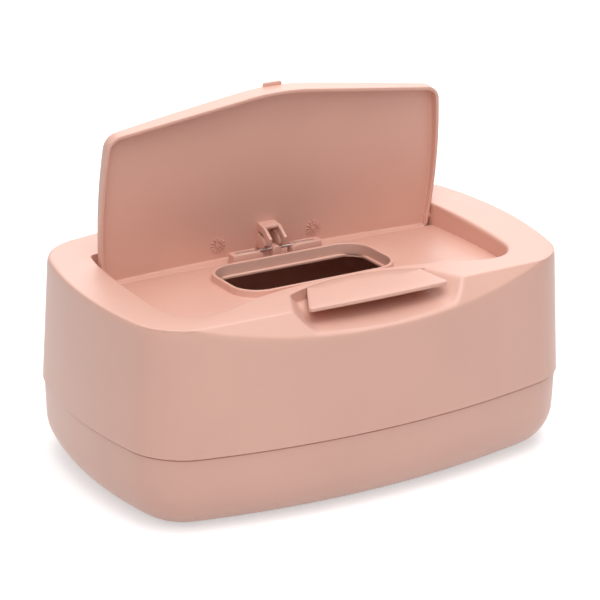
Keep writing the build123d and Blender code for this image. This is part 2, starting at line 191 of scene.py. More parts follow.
# %% Drawn steel
def drawn_steel():
    bench = material_bench("drawn_steel")
    place = bench.node("ShaderNodeTexCoord", output=3)
    stretch = {"Vector": place, "Scale": (40.0, 2600.0, 2600.0)}
    along = bench.node("ShaderNodeMapping", None, stretch)
    lines = bench.node("ShaderNodeTexNoise", None, {"Vector": along, "Scale": 1.0, "Detail": 3.0})
    color = bench.node(
        "ShaderNodeValToRGB",
        {"stops": [(0.3, linear(152, 136, 131)), (0.7, linear(196, 181, 176))]},
        {"Fac": lines},
    )
    shader = bench.node(
        "ShaderNodeBsdfPrincipled",
        None,
        {"Base Color": color, "Metallic": 1.0, "Roughness": 0.2 + 0.25 * lines},
    )
    return bench.surface(shader)


steel = drawn_steel()
print("steel rod:", steel.name)


# %% [markdown]
# ## From points to pieces
#
# Most of the box is a loft: an outline in plan, carried along a profile. So most of the meshes
# here are grids of points, with rows along the profile and columns round the outline. One
# function joins such a grid with quads, closes it, and turns its faces outwards.

# %% Grids, lofts and finished pieces
def grid_mesh(rows, closed_profile=False):
    """Vertices and faces of a grid of rows that each close on themselves, with capped ends."""
    rows = np.asarray(rows, float)
    count, across = rows.shape[:2]
    faces = []
    last = count if closed_profile else count - 1
    for row in range(last):
        below = row * across
        above = ((row + 1) % count) * across
        for column in range(across):
            turn = (column + 1) % across
            faces.append((below + column, below + turn, above + turn, above + column))
    if not closed_profile:
        faces.append(tuple(range(across)))
        faces.append(tuple(range((count - 1) * across, count * across)))
    return rows.reshape(-1, 3), faces


def joined(*meshes):
    """Several lists of vertices and faces as one."""
    points = []
    faces = []
    for vertices, polygons in meshes:
        start = len(points)
        points.extend(vertices)
        faces.extend([tuple(start + corner for corner in polygon) for polygon in polygons])
    return np.array(points), faces


def shaped(name, mesh, place, merge):
    """An object from vertices in millimetres, moved to its place, with its faces turned outwards."""
    vertices, faces = mesh
    data = bpy.data.meshes.new(name)
    data.from_pydata([Vector(v) * MM for v in vertices], [], faces)
    if place is not None:
        data.transform(place)
    work = bmesh.new()
    work.from_mesh(data)
    if merge:
        bmesh.ops.remove_doubles(work, verts=work.verts, dist=1e-6)
    bmesh.ops.recalc_face_normals(work, faces=work.faces)
    work.to_mesh(data)
    work.free()
    made = bpy.data.objects.new(name, data)
    bpy.context.scene.collection.objects.link(made)
    return made


def taken_apart(made):
    """The vertices and faces of an object after its modifiers. The object is deleted."""
    bpy.context.view_layer.update()
    seen = made.evaluated_get(bpy.context.evaluated_depsgraph_get())
    data = bpy.data.meshes.new_from_object(seen)
    bpy.data.objects.remove(made)
    mesh = [vertex.co / MM for vertex in data.vertices], [tuple(p.vertices) for p in data.polygons]
    bpy.data.meshes.remove(data)
    return mesh


def piece(name, mesh, body, material=plastic, place=None, crease=40):
    """A finished piece, smooth but for its creases, that rides on its body."""
    made = shaped(name, mesh, place, True)
    data = made.data
    for polygon in data.polygons:
        polygon.use_smooth = True
    data.set_sharp_from_angle(angle=radians(crease))
    data.materials.append(material)
    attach(made, body)
    print(name, len(data.polygons), "faces")
    return made


def rounded(points, radii, steps=8, closed=False):
    """A line through points whose corners are rounded with arcs of these radii."""
    points = [np.array(point, float) for point in points]
    line = []
    for number, (point, radius) in enumerate(zip(points, radii)):
        end = not closed and number in (0, len(points) - 1)
        if end or radius == 0:
            line.append(point)
            continue
        back = points[number - 1] - point
        on = points[(number + 1) % len(points)] - point
        back /= np.linalg.norm(back)
        on /= np.linalg.norm(on)
        half = np.arccos(np.clip(back @ on, -1, 1)) / 2
        middle = (back + on) / np.linalg.norm(back + on)
        centre = point + middle * radius / sin(half)
        start = point + back * radius / np.tan(half) - centre
        finish = point + on * radius / np.tan(half) - centre
        sweep = pi - 2 * half
        for step in range(steps + 1):
            share = step / steps
            blend = sin((1 - share) * sweep) * start + sin(share * sweep) * finish
            line.append(centre + blend / sin(sweep))
    return np.array(line)


print("a rounded corner:", np.round(rounded([(0, 0), (1, 0), (1, 1)], [0, 0.5, 0], 2), 2).tolist())


# %% [markdown]
# ## The outline of the box
#
# In plan the box is a rectangle whose four sides all bow outwards, with corners that are arcs
# too. Its outline is eight arcs that flow into each other. A smaller outline, for a wall that
# leans in or for the inside of a wall, keeps the same arc centres and takes the inset off each
# radius, so that a column of points always runs square to the outline.

# %% Plan outline
LENGTH = 249.98
DEPTH = 165.32
FRONT_BOW = 422.0
SIDE_BOW = 205.0
CORNER = 33.0
TOP = 103.5
PARTING = 40.0
WALL = 2.2
COVER_DRAFT = 0.059


def quarter_arcs():
    """The front, corner and side arcs from the front's middle to the right side's middle."""
    front = np.array([0.0, -DEPTH / 2 + FRONT_BOW])
    side = np.array([LENGTH / 2 - SIDE_BOW, 0.0])
    span = np.linalg.norm(side - front)
    near = FRONT_BOW - CORNER
    far = SIDE_BOW - CORNER
    along = (span**2 + near**2 - far**2) / (2 * span)
    unit = (side - front) / span
    across = np.array([-unit[1], unit[0]]) * sqrt(near**2 - along**2)
    corner = min((front + along * unit + across, front + along * unit - across), key=lambda c: c[1])
    first = np.arctan2(*(corner - front)[::-1])
    second = np.arctan2(*(corner - side)[::-1])
    return [
        (front, FRONT_BOW, -pi / 2, first),
        (corner, CORNER, first, second),
        (side, SIDE_BOW, second, 0.0),
    ]


def half_arcs():
    """The arcs from the front's middle round the right side to the back's middle."""
    quarter = quarter_arcs()
    flip = np.array([1.0, -1.0])
    return quarter + [(c * flip, r, -end, -start) for c, r, start, end in reversed(quarter)]


ARCS = half_arcs()
ARC_LENGTHS = [radius * (end - start) for _, radius, start, end in ARCS]
ARC_STARTS = np.concatenate([[0.0], np.cumsum(ARC_LENGTHS)])
HALF_ROUND = ARC_STARTS[-1]


def outline_at(distance):
    """The point and the outward direction at a distance along the half outline."""
    number = int(np.clip(np.searchsorted(ARC_STARTS, distance, "right") - 1, 0, len(ARCS) - 1))
    centre, radius, start, _ = ARCS[number]
    angle = start + (distance - ARC_STARTS[number]) / radius
    out = np.array([cos(angle), sin(angle)])
    return centre + radius * out, out


def both_halves(right, left=None):
    """Closed rows from a right half, whose ends lie on the middle plane, and the mirror image of the
    left half, which is the right half again if it isn't given."""
    left = (right if left is None else left)[:, -2:0:-1].copy()
    left[..., 0] *= -1
    return np.concatenate([right, left], axis=1)


print("half way round is", round(HALF_ROUND, 1), "mm")


# %% [markdown]
# ## The tray
#
# The tray is the lower tub. Its wall leans in a little on the way down and rolls under in a wide
# curve to a flat foot. Its top is a shoulder that carries the cover, and inside the shoulder
# stands a thin lip that keeps the cover in place. The whole section, from the foot up, over the
# lip and back down the inside, is one profile in inset and height.

# %% Tray
TRAY_STEP = 0.9
TRAY_DRAFT = 0.03
FOOT = 22.0
SHOULDER_DROP = 0.2
LIP_TOP = PARTING + 4.5


def tray_profile():
    wall_foot = TRAY_STEP + TRAY_DRAFT * PARTING
    lip = WALL + 0.35
    points = [
        (31.0, 0.0),
        (wall_foot, 0.0),
        (TRAY_STEP, PARTING - SHOULDER_DROP),
        (lip, PARTING - SHOULDER_DROP),
        (lip + 0.25, LIP_TOP),
        (lip + 1.65, LIP_TOP),
        (lip + 1.1, PARTING - 5.0),
        (wall_foot + WALL - 0.2, WALL),
        (31.0, WALL),
    ]
    return rounded(points, [0, FOOT, 0.35, 0.2, 0.4, 0.4, 3.0, FOOT - WALL, 0], 12)


def tray_mesh():
    stations = np.linspace(0, HALF_ROUND, 121)
    rows = []
    for inset, height in tray_profile():
        row = []
        for station in stations:
            point, out = outline_at(station)
            row.append((*(point - out * inset), height))
        rows.append(row)
    return grid_mesh(both_halves(np.array(rows)))


tray = piece("tray_shell", tray_mesh(), "tray")
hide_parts("base_tray")


# %% [markdown]
# ## Outlines with bowed sides
#
# The recess, the lid, the opening and the tongue have outlines of their own: sides that are
# straight or a little bowed, and rounded corners. This helper takes the corners, how far each
# side bows out, and each corner's radius.

# %% Bowed outlines
def bowed_side(start, end, bow, steps=40):
    """Points on an arc from start to end that bulges to the right of its direction by bow."""
    start = np.array(start, float)
    end = np.array(end, float)
    share = np.linspace(0, 1, steps)[:, None]
    if abs(bow) < 1e-6:
        return start + (end - start) * share
    chord = np.linalg.norm(end - start)
    radius = (chord**2 / 4 + bow**2) / (2 * abs(bow))
    along = (end - start) / chord
    right = np.array([along[1], -along[0]]) * np.sign(bow)
    centre = (start + end) / 2 - right * (radius - abs(bow))
    reach = asin(chord / 2 / radius)
    turn = -reach + 2 * reach * share
    return centre + radius * (np.sin(turn) * along + np.cos(turn) * right)


def bowed_outline(corners, bows, radii, steps=10):
    """A closed outline, anticlockwise, with each side's bow and each corner's radius."""
    count = len(corners)
    sides = [bowed_side(corners[i], corners[(i + 1) % count], bows[i]) for i in range(count)]
    line = []
    for number in range(count):
        side = sides[number]
        before = sides[number - 1]
        after = sides[(number + 1) % count]
        reaches = []
        for near, far, radius in (
            (before[-1] - before[-2], side[1] - side[0], radii[number]),
            (side[-1] - side[-2], after[1] - after[0], radii[(number + 1) % count]),
        ):
            both = np.linalg.norm(near) * np.linalg.norm(far)
            turn = np.arccos(np.clip(near @ far / both, -1, 1))
            reaches.append((radius * np.tan(turn / 2), radius * 4 / 3 * np.tan(turn / 4)))
        lengths = np.concatenate([[0], np.cumsum(np.linalg.norm(np.diff(side, axis=0), axis=1))])
        stations = np.linspace(reaches[0][0], lengths[-1] - reaches[1][0], 30)
        kept = np.column_stack([np.interp(stations, lengths, side[:, axis]) for axis in (0, 1)])
        line.append((kept, reaches))
    points = []
    for number, (kept, reaches) in enumerate(line):
        points.extend(kept)
        following = line[(number + 1) % count][0]
        start, finish = kept[-1], following[0]
        if np.linalg.norm(finish - start) < 1e-6:
            points.pop()
            continue
        handle = reaches[1][1]
        leave = start + handle * (kept[-1] - kept[-2]) / np.linalg.norm(kept[-1] - kept[-2])
        enter = finish - handle * (following[1] - following[0]) / np.linalg.norm(
            following[1] - following[0]
        )
        for step in range(1, steps):
            t = step / steps
            ends = (1 - t) ** 3 * start + t**3 * finish
            points.append(ends + 3 * t * (1 - t) ** 2 * leave + 3 * t**2 * (1 - t) * enter)
    return np.array(points)


def outward(line):
    """The outward directions along a closed anticlockwise outline."""
    along = np.roll(line, -1, axis=0) - np.roll(line, 1, axis=0)
    along /= np.linalg.norm(along, axis=1)[:, None]
    return np.column_stack([along[:, 1], -along[:, 0]])


# %% [markdown]
# ## The cover
#
# The cover is the upper shell, and the most worked piece. Going over it from the outside in,
# there is the leaning wall; at the front two facets that are cut off at a slant; the flat top;
# the rounded edge of the sunken well for the lid; and the well's wall. At the front the finger
# scoop is pressed into it.
#
# It is one grid again. Each column goes over those places in order. The corners of a column's
# line are then rounded by averaging it over a short stretch, which also works where two corners
# meet, as where the facets run out. The scoop is a second surface, and each point takes the lower
# of the two, with a soft minimum that rounds the scoop's lip.

# %% The well's outline
LID_SIDE = 93.6
LID_MIDDLE = 95.9
RECESS_GAP = 1.1
WELL_BACK = 43.6
RECESS_FRONT = -37.4
SHOULDER = (70.0, -49.6)
RECESS_CORNER = (93.0, -50.4)


def recess_outline():
    """The right half of the well's wall, from the front's middle to the back's middle."""
    side = LID_SIDE + RECESS_GAP
    middle = LID_MIDDLE + RECESS_GAP
    side_bow = middle - (side + RECESS_CORNER[0]) / 2
    corners = [
        (-SHOULDER[0], SHOULDER[1]),
        SHOULDER,
        RECESS_CORNER,
        (side, WELL_BACK),
        (-side, WELL_BACK),
        (-RECESS_CORNER[0], RECESS_CORNER[1]),
    ]
    bows = [-(RECESS_FRONT - SHOULDER[1]), 0, side_bow, 0, side_bow, 0]
    line = bowed_outline(corners, bows, [25, 25, 17, 3, 3, 17])
    start = np.argmin(np.hypot(line[:, 0], line[:, 1] - RECESS_FRONT))
    line = np.roll(line, -start, axis=0)
    kept = (line[:, 0] >= -1e-9) & (np.arange(len(line)) < len(line) * 0.62)
    line = line[kept]
    first = (0.0, RECESS_FRONT)
    last = (0.0, WELL_BACK)
    line = np.vstack([first, line[line[:, 0] > 0.5], last])
    along = np.concatenate([[0], np.cumsum(np.linalg.norm(np.diff(line, axis=0), axis=1))])
    return line, along


RECESS_LINE, RECESS_ALONG = recess_outline()
print("well outline:", len(RECESS_LINE), "points,", round(RECESS_ALONG[-1], 1), "mm half round")


def recess_at(distance):
    """The point on the well's wall at a distance along it, and the direction away from the well."""
    def spot(where):
        return np.array([np.interp(where, RECESS_ALONG, RECESS_LINE[:, axis]) for axis in (0, 1)])

    ahead = spot(min(distance + 0.4, RECESS_ALONG[-1])) - spot(max(distance - 0.4, 0))
    ahead /= np.linalg.norm(ahead)
    if distance <= 0 or distance >= RECESS_ALONG[-1]:
        ahead = np.array([1.0 if distance <= 0 else -1.0, 0.0])
    return spot(distance), np.array([ahead[1], -ahead[0]])


# %% The facets and the finger scoop
FACET_Y = -69.35
FACET_SWEEP = 0.021
FACET_LEAN = 0.832
SCOOP_X = 2.0
SCOOP_BACK = -41.0
SCOOP_BACK_BOW = 85.0
SCOOP_HALF = (33.7, 47.5)
SCOOP_SIDE_LEAN = (0.25, 0.52)
SCOOP_DROP = (5.4, 11.4)
SCOOP_SAG = (1.0, 2.9)
SCOOP_CORNER = 9.0


def facet_line(x):
    """Where the facets meet the flat top."""
    return FACET_Y + FACET_SWEEP * abs(x)


def soft_least(first, second, reach):
    """The lower of two heights, rounded where they cross."""
    share = np.clip(0.5 + 0.5 * (second - first) / reach, 0, 1)
    return second + (first - second) * share - reach * share * (1 - share)


def scoop_back_line(x):
    """The scoop's back wall in plan, an arc that swells to the back."""
    return SCOOP_BACK - SCOOP_BACK_BOW + np.sqrt(SCOOP_BACK_BOW**2 - np.square(x - SCOOP_X))


def between(pair, share):
    """A value that goes from the pair's first, at the back, to its second, on the facets."""
    return pair[0] + (pair[1] - pair[0]) * share


def scoop_share(y, drop):
    """How far forward a place is, from 0 at the back wall to 1 on the facets."""
    return np.clip((SCOOP_BACK - y) / (SCOOP_BACK - FACET_Y + FACET_LEAN * drop), -0.3, 1.6)


def scoop_height(x, y, grow=0.0):
    """The finger scoop's surface: a trough that widens and falls to the front."""
    back_wall = scoop_back_line(x)
    x = x - SCOOP_X
    least = np.full(x.shape, -20.0)
    most = np.full(x.shape, 40.0)
    for _ in range(20):
        drop = (least + most) / 2
        share = scoop_share(y, drop)
        half = between(SCOOP_HALF, share) + grow - between(SCOOP_SIDE_LEAN, share) * drop
        least = np.where(half > np.abs(x), drop, least)
        most = np.where(half > np.abs(x), most, drop)
    side = TOP - drop
    drop = np.full(x.shape, SCOOP_DROP[1])
    for _ in range(6):
        share = scoop_share(y, drop)
        drop = between(SCOOP_DROP, share) + grow - between(SCOOP_SAG, share) * (
            x / between(SCOOP_HALF, share)
        ) ** 2
    floor = TOP - drop
    trough = -soft_least(-floor, -side, SCOOP_CORNER)
    return trough + np.clip((y - back_wall - grow) / 0.3, 0, 1) * 40.0


# %% [markdown]
# The columns are close together over the scoop, where the shape is busy, and further apart
# elsewhere. Each one joins a place on the outer outline to a place on the well's outline. The
# table below says which place goes with which, and how many columns lie between.

# %% Columns of the cover
FINE_HALF = 56.0
FINE_STEP = 0.7


def front_station(x):
    return FRONT_BOW * asin(x / FRONT_BOW)


def recess_front_station(x):
    upto = np.argmax(RECESS_LINE[:, 0] > 80.0)
    return np.interp(x, RECESS_LINE[:upto, 0], RECESS_ALONG[:upto])


def recess_side_station(y):
    x, along = RECESS_LINE.T
    side = (x > 90) & (along > -34) & (along < 41)
    return np.interp(y, along[side], RECESS_ALONG[side])


def cover_columns():
    places = np.arange(0, FINE_HALF + 0.01, FINE_STEP)
    fine = [(front_station(x), recess_front_station(x)) for x in places]
    corner_start, corner_end = ARC_STARTS[1], ARC_STARTS[2]
    back_start, back_end = ARC_STARTS[3], ARC_STARTS[4]
    last = RECESS_ALONG[-1]
    pairs = [
        (front_station(FINE_HALF), recess_front_station(FINE_HALF), 8),
        (front_station(76.0), recess_front_station(76.0), 14),
        (corner_start * 0.5 + corner_end * 0.5, recess_side_station(-40) - 8, 12),
        (corner_end, recess_side_station(-30), 24),
        (back_start, recess_side_station(30), 8),
        (back_start * 0.4 + back_end * 0.6, recess_side_station(40), 8),
        (back_end + 6, last - 86, 34),
        (HALF_ROUND, last, 0),
    ]
    columns = fine[:-1]
    for (outer, inner, steps), (next_outer, next_inner, _) in zip(pairs, pairs[1:]):
        for step in range(steps):
            share = step / steps
            columns.append(
                (outer + (next_outer - outer) * share, inner + (next_inner - inner) * share)
            )
    columns.append((HALF_ROUND, last))
    return columns


COLUMNS = cover_columns()
print("cover:", len(COLUMNS), "columns in the right half")


# %% A column's line over the cover
SCOOP_BACK_END = 37.0
BRINK_DROP = 1.2
SOFT_EDGE = 4.0
SOFT_CREASE = 3.0
CRISP_EDGE = 1.4
SOFT_TOP = 10.0
SOFT_BRINK = 5.0
SOFT_BACK_BRINK = 3.0


def wall_knots(outer, inner, inset, sink, well_bottom, rim_z, flip):
    """The corners of one column's line and how softly each is rounded. With an inset it is the
    inner face, and with a flip of -1 a column of the left half, mirrored to the right."""
    point, out = outline_at(outer)
    point = point - out * inset
    top = TOP - sink
    facet_shift = sink * hypot(1, FACET_LEAN)
    gap = point[1] - facet_line(point[0]) - facet_shift + FACET_LEAN * (TOP - PARTING)
    height = min(gap / (FACET_LEAN + COVER_DRAFT * out[1]), top - PARTING)
    if out[1] > -0.3:
        height = top - PARTING
    bottom = np.array([*(point - out * COVER_DRAFT * (rim_z - PARTING)), rim_z])
    crease = np.array([*(point - out * COVER_DRAFT * height), PARTING + height])
    edge_y = max(crease[1], facet_line(crease[0]) + facet_shift - FACET_LEAN * sink)
    edge = np.array([crease[0], edge_y if height < top - PARTING else crease[1], top])
    spot, away = recess_at(inner)
    spot = spot + away * inset
    at_side = np.clip((abs(spot[0]) - 60) / 25, 0, 1) * np.clip((44 - spot[1]) / 10, 0, 1)
    brink = np.array([*spot, top - BRINK_DROP * at_side])
    if abs(spot[0]) < FINE_HALF and out[1] < 0:
        across = np.clip(flip * spot[0] - SCOOP_X, -SCOOP_BACK_END, SCOOP_BACK_END)
        back = scoop_back_line(across + SCOOP_X)
        share = (back - edge[1]) / (brink[1] - edge[1])
    else:
        share = 0.5
    middle = edge + (brink - edge) * min(max(share, 0.15), 0.92)
    middle[2] = top
    foot = np.array([*spot, well_bottom])
    in_front = np.clip((-out[1] - 0.3) / 0.4, 0, 1)
    at_back = np.clip(spot[1] / 30, 0, 1)
    widths = [
        0.0,
        SOFT_EDGE + (SOFT_CREASE - SOFT_EDGE) * in_front,
        SOFT_EDGE + (CRISP_EDGE - SOFT_EDGE) * in_front,
        SOFT_TOP if share == 0.5 else CRISP_EDGE,
        SOFT_BRINK + (SOFT_BACK_BRINK - SOFT_BRINK) * at_back,
        0.0,
    ]
    return [bottom, crease, edge, middle, brink, foot], widths


def sampled(knots, counts, widths):
    """Points along a line through knots, its corners rounded by averaging over a width."""
    knots = np.array(knots)
    lengths = np.linalg.norm(np.diff(knots, axis=0), axis=1)
    along = np.concatenate([[0], np.cumsum(lengths)])
    for number in range(1, len(along)):
        along[number] = max(along[number], along[number - 1] + 1e-6)
    stations = []
    spread = []
    for number, count in enumerate(counts):
        share = (1 - np.cos(np.linspace(0, pi, count + 1)[:-1])) / 2
        share = 0.55 * share + 0.45 * np.linspace(0, 1, count + 1)[:-1]
        stations.extend(along[number] + (along[number + 1] - along[number]) * share)
        spread.extend(widths[number] + (widths[number + 1] - widths[number]) * share)
    stations = np.array(stations + [along[-1]])
    spread = np.array(spread + [widths[-1]])
    spread = np.minimum(spread, 2 * np.minimum(stations - along[0], along[-1] - stations))
    points = np.zeros((len(stations), 3))
    shifts = np.linspace(-0.5, 0.5, 15)
    for shift in shifts:
        where = stations + shift * spread
        for axis in range(3):
            points[:, axis] += np.interp(where, along, knots[:, axis]) / len(shifts)
    return points


# %% The cover's shell
WELL_FOOT = 86.0
SHADOW = 0.55
SHADOW_DEPTH = 1.4
SCOOP_LIP = 1.8


def cover_half(flip):
    """The rows of the right half's columns, or with a flip of -1 the left half's mirror image."""
    outside = []
    for outer, inner in COLUMNS:
        knots, widths = wall_knots(outer, inner, 0.0, 0.0, WELL_FOOT, PARTING + SHADOW, flip)
        outside.append(sampled(knots, [14, 26, 34, 22, 14], widths))
    outside = np.array(outside).transpose(1, 0, 2)
    x, y, z = outside[..., 0], outside[..., 1], outside[..., 2]
    near = (np.abs(x) < 60) & (y < -38)
    outside[..., 2] = np.where(near, soft_least(z, scoop_height(flip * x, y), SCOOP_LIP), z)
    inside = []
    for outer, inner in COLUMNS:
        knots, _ = wall_knots(outer, inner, WALL, WALL, WELL_FOOT, PARTING, flip)
        inside.append(sampled(knots, [6, 10, 12, 8, 4], [0, 0.4, 0.4, 0.4, 0.4, 0]))
    inside = np.array(inside).transpose(1, 0, 2)[::-1]
    x, y, z = inside[..., 0], inside[..., 1], inside[..., 2]
    near = (np.abs(x) < 64) & (y < -36)
    inside[..., 2] = np.where(near, np.minimum(z, scoop_height(flip * x, y, WALL) - 0.3), z)
    rebate = []
    for height in (PARTING, PARTING + SHADOW):
        row = []
        for outer, _ in COLUMNS:
            point, out = outline_at(outer)
            row.append((*(point - out * SHADOW_DEPTH), height))
        rebate.append(row)
    return np.concatenate([outside, inside, np.array(rebate)])


def cover_mesh():
    return grid_mesh(both_halves(cover_half(1), cover_half(-1)), closed_profile=True)


cover = piece("cover_shell", cover_mesh(), "cover")
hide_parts("cover")


# %% [markdown]
# ## The well's floor
#
# The floor that the lid closes over is a plate with a slight fall to the back, where it ends at a
# trough for the lid's foot. Straight cuts through flat plates are what booleans are good at, so
# this is a plate and a trough, less the opening and the two slots that the lid's cheeks pass
# through. A Bevel modifier then takes the hardness off the edges.

# %% Plates and cuts
FLOOR_Z = 91.8
FLOOR_RISE = 0.0364
FLOOR_THICK = 2.0
FLOOR_BACK = 31.1
WELL_Z = 87.6
TROUGH_HALF = 94.9
TROUGH_FRONT = 29.7
TROUGH_BACK = 44.6
TROUGH_TOP = 90.62
SLOT_X = 4.3
SLOT_HALF = 1.4
SLOT_FRONT = 22.6
SLOT_BACK = 33.0
TILT = Matrix.Translation((0, 0, FLOOR_Z * MM)) @ Matrix.Rotation(-atan(FLOOR_RISE), 4, "X")


def prism(line, low, high):
    """An upright block over a closed outline."""
    rows = [[(*point, height) for point in line] for height in (low, high)]
    return grid_mesh(rows)


def block(low, high):
    """A box between two corners."""
    line = [(low[0], low[1]), (high[0], low[1]), (high[0], high[1]), (low[0], high[1])]
    return prism(line, low[2], high[2])


def tool(mesh, place=None):
    """A closed mesh for a boolean, which is deleted after its use."""
    return shaped("tool", mesh, place, False)


def worked(name, start, steps, body, bevel=0.3, crease=40, segments=3):
    """A piece made by booleans on a first block, bevelled and smooth."""
    base = tool(start)
    for operation, cutter in steps:
        modifier = base.modifiers.new(operation, "BOOLEAN")
        modifier.operation = operation
        modifier.solver = "EXACT"
        modifier.object = cutter
    edge = base.modifiers.new("bevel", "BEVEL")
    edge.width = bevel * MM
    edge.segments = segments
    edge.limit_method = "ANGLE"
    edge.angle_limit = radians(crease)
    edge.harden_normals = False
    mesh = taken_apart(base)
    for _, cutter in steps:
        bpy.data.objects.remove(cutter)
    return piece(name, mesh, body, crease=crease)


# %% Floor, trough and slots
MOUTH_X = 43.4
MOUTH_Y = 20.8
MOUTH_CENTRE = -0.9
MOUTH_CORNER = 13.3
LEDGE = 1.3
LEDGE_CORNER = 7.5


def mouth_line(grow, radius):
    half_x = MOUTH_X + grow
    half_y = MOUTH_Y + grow
    corners = [
        (-half_x, MOUTH_CENTRE - half_y),
        (half_x, MOUTH_CENTRE - half_y),
        (half_x, MOUTH_CENTRE + half_y),
        (-half_x, MOUTH_CENTRE + half_y),
    ]
    return rounded(corners, [radius] * 4, 10, closed=True)


def full_recess(grow):
    right = []
    for station in np.linspace(0, RECESS_ALONG[-1], 90):
        spot, away = recess_at(station)
        right.append(spot + away * grow)
    right = np.array(right)
    left = right[-2:0:-1] * (-1, 1)
    return np.concatenate([right, left])


def floor_piece():
    start = block(
        (-TROUGH_HALF, TROUGH_FRONT, WELL_Z - FLOOR_THICK), (TROUGH_HALF, TROUGH_BACK, TROUGH_TOP)
    )
    steps = [
        ("DIFFERENCE", tool(block((-120, FLOOR_BACK, WELL_Z), (120, 60, 120)))),
        ("UNION", tool(plate_less_back())),
        ("DIFFERENCE", tool(prism(mouth_line(0.6, MOUTH_CORNER + 0.6), -20, 20), TILT)),
    ]
    for side in (-1, 1):
        low = (side * SLOT_X - SLOT_HALF, SLOT_FRONT, 80)
        high = (side * SLOT_X + SLOT_HALF, SLOT_BACK, 96)
        steps.append(("DIFFERENCE", tool(block(low, high))))
    return worked("well_floor", start, steps, "cover", bevel=0.25)


def plate_less_back():
    """The floor's plate, cut off straight where the trough begins, in the box's own place."""
    line = full_recess(1.0)
    line = np.array([(x, min(y, FLOOR_BACK)) for x, y in line])
    keep = [0]
    for number in range(1, len(line)):
        if np.linalg.norm(line[number] - line[keep[-1]]) > 0.05:
            keep.append(number)
    line = line[keep]
    rows = []
    for drop in (FLOOR_THICK, 0.0):
        rows.append([(x, y, FLOOR_Z - FLOOR_RISE * y - drop) for x, y in line])
    return grid_mesh(rows)


floor_piece()


# %% [markdown]
# ## The collar round the opening
#
# A low collar stiffens the opening, and just under it a narrow ledge runs round the inside. Its
# section is carried round the opening's outline, with a soft root where it stands on the floor.

# %% Collar
COLLAR_THICK = 1.7
COLLAR_HEIGHT = 3.7
LEDGE_THICK = 1.4


def collar_mesh():
    below = -FLOOR_THICK - LEDGE_THICK
    section = [
        (0, -FLOOR_THICK),
        (0, COLLAR_HEIGHT),
        (COLLAR_THICK, COLLAR_HEIGHT),
        (COLLAR_THICK + 0.1, 0.05),
        (COLLAR_THICK + 1.6, -0.05),
        (COLLAR_THICK + 1.6, -1.0),
        (COLLAR_THICK, below),
        (-LEDGE, below),
        (-LEDGE, -FLOOR_THICK),
    ]
    section = rounded(section, [0.3, 0.5, 0.5, 0.4, 0, 0, 0.3, 0.4, 0.4], 5, closed=True)
    rows = []
    for out, height in section:
        corner = MOUTH_CORNER + out
        if out < 0:
            corner = MOUTH_CORNER + (LEDGE_CORNER - MOUTH_CORNER) * -out / LEDGE
        rows.append([(*point, height) for point in mouth_line(out, corner)])
    return grid_mesh(rows, closed_profile=True)


piece("opening_collar", collar_mesh(), "cover", place=TILT)


# %% [markdown]
# ## The snap hinge on the cover
#
# Behind the opening two small blocks hold the steel rod, and a lug in the middle clamps it. Each
# block has a slot in its top, through which the rod shows, and an inner end that is rounded off.

# %% Bearing blocks and lug
ROD_Y = 27.6
ROD_Z = 95.8
BLOCK_IN = 8.5
BLOCK_OUT = 25.4
BLOCK_FRONT = 24.2
BLOCK_BACK = 30.2
BLOCK_TOP = 96.7
WINDOW_HALF = 5.75
WINDOW_FRONT = 26.5
WINDOW_BACK = 29.4
LUG = 2.3
LUG_FRONT = 25.3
LUG_BACK = 29.8
LUG_EDGE = 0.25
BLOCK_FOOT = 89.9
LUG_Z = 95.2


def bearing_block(side):
    profile = [
        (side * BLOCK_OUT, BLOCK_FOOT),
        (side * BLOCK_OUT, BLOCK_TOP),
        (side * BLOCK_IN, BLOCK_TOP),
        (side * BLOCK_IN, BLOCK_FOOT),
    ]
    profile = rounded(profile, [0, 0, 3.0, 0], 8)
    rows = [[(x, y, z) for x, z in profile] for y in (BLOCK_FRONT, BLOCK_BACK)]
    middle = side * (BLOCK_IN + BLOCK_OUT) / 2
    window = block(
        (middle - WINDOW_HALF, WINDOW_FRONT, ROD_Z - 0.3), (middle + WINDOW_HALF, WINDOW_BACK, TOP)
    )
    return worked(
        "bearing_block_left" if side < 0 else "bearing_block_right",
        grid_mesh(rows),
        [("DIFFERENCE", tool(window))],
        "cover",
        bevel=0.3,
    )


def clamping_lug():
    """The lug with its round top, as one outline carried from front to back."""
    angles = np.radians(np.linspace(0, 180, 24))
    outline = [(LUG * cos(angle), LUG_Z + LUG * sin(angle)) for angle in angles]
    outline += [(-LUG, BLOCK_FOOT), (LUG, BLOCK_FOOT)]
    rows = []
    places = (LUG_FRONT, LUG_FRONT + LUG_EDGE, LUG_BACK - LUG_EDGE, LUG_BACK)
    for y, shrink in zip(places, (0.88, 1.0, 1.0, 0.88)):
        rows.append([(x * shrink, y, LUG_Z + (z - LUG_Z) * shrink) for x, z in outline])
    return grid_mesh(rows)


for side in (-1, 1):
    bearing_block(side)
piece("clamping_lug", clamping_lug(), "cover")


# %% [markdown]
# ## The rod
#
# The rod is a line with a round section carried along it. Geometry Nodes does exactly that with
# Curve to Mesh, and the tree's inputs keep the length and the radius as named sizes.

# %% Rod by Geometry Nodes
def new_tree(name, inputs):
    """A bench for a Geometry Nodes tree with named inputs, and a wire from each of them."""
    tree = bpy.data.node_groups.new(name, "GeometryNodeTree")
    tree.interface.new_socket("Geometry", in_out="OUTPUT", socket_type="NodeSocketGeometry")
    for label, kind, value in inputs:
        socket = tree.interface.new_socket(label, in_out="INPUT", socket_type="NodeSocket" + kind)
        if value is not None:
            socket.default_value = value
    bench = Bench(tree)
    first = tree.nodes.new("NodeGroupInput")
    return bench, {label: Wire(bench, first.outputs[label]) for label, _, _ in inputs}


